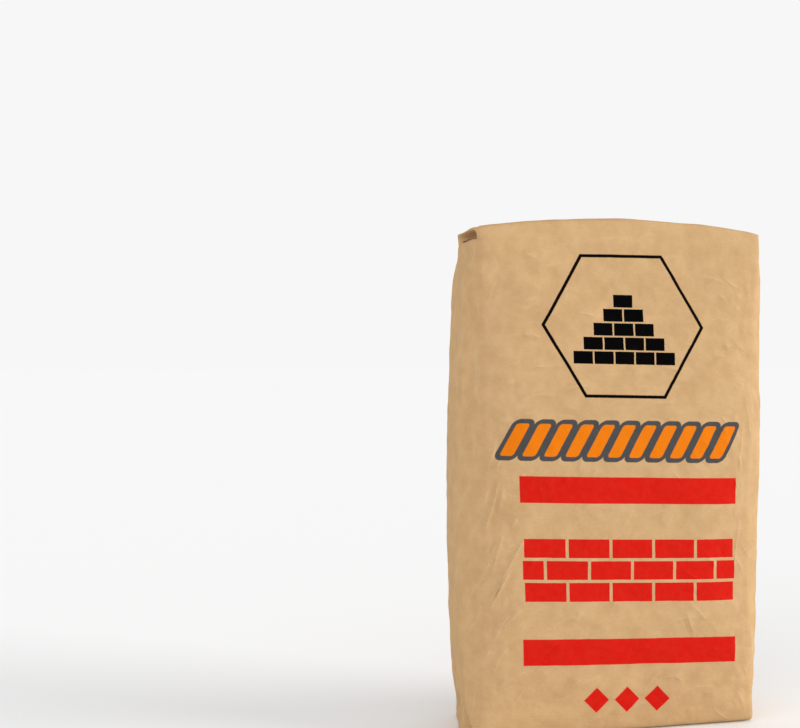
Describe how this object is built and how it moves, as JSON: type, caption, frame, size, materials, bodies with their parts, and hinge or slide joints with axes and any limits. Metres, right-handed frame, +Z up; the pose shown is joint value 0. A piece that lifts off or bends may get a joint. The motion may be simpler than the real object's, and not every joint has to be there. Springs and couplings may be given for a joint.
{
  "type": "cement bag",
  "caption": "Full block-bottom kraft paper sack of cement, standing upright on its folded end, bulging at the middle, with a flattened filling sleeve in one upper corner.",
  "frame": {"origin": "on the floor, under the middle of the sack's bounding box", "axes": "+Z up, along the sack's length; +X across its width, so that the printed broad face looks towards -Y and the filling sleeve is at -X"},
  "size_m": [0.3872, 0.155, 0.6162],
  "materials": {
    "kraft_paper": "brown unbleached kraft, printed",
    "sleeve_paper": "brown kraft, matt",
    "cement": "fine grey powder"
  },
  "bodies": {
    "root": {"paper_sack": "kraft_paper", "valve_sleeve": "sleeve_paper", "cement_fill": "cement"}
  },
  "joints": []
}
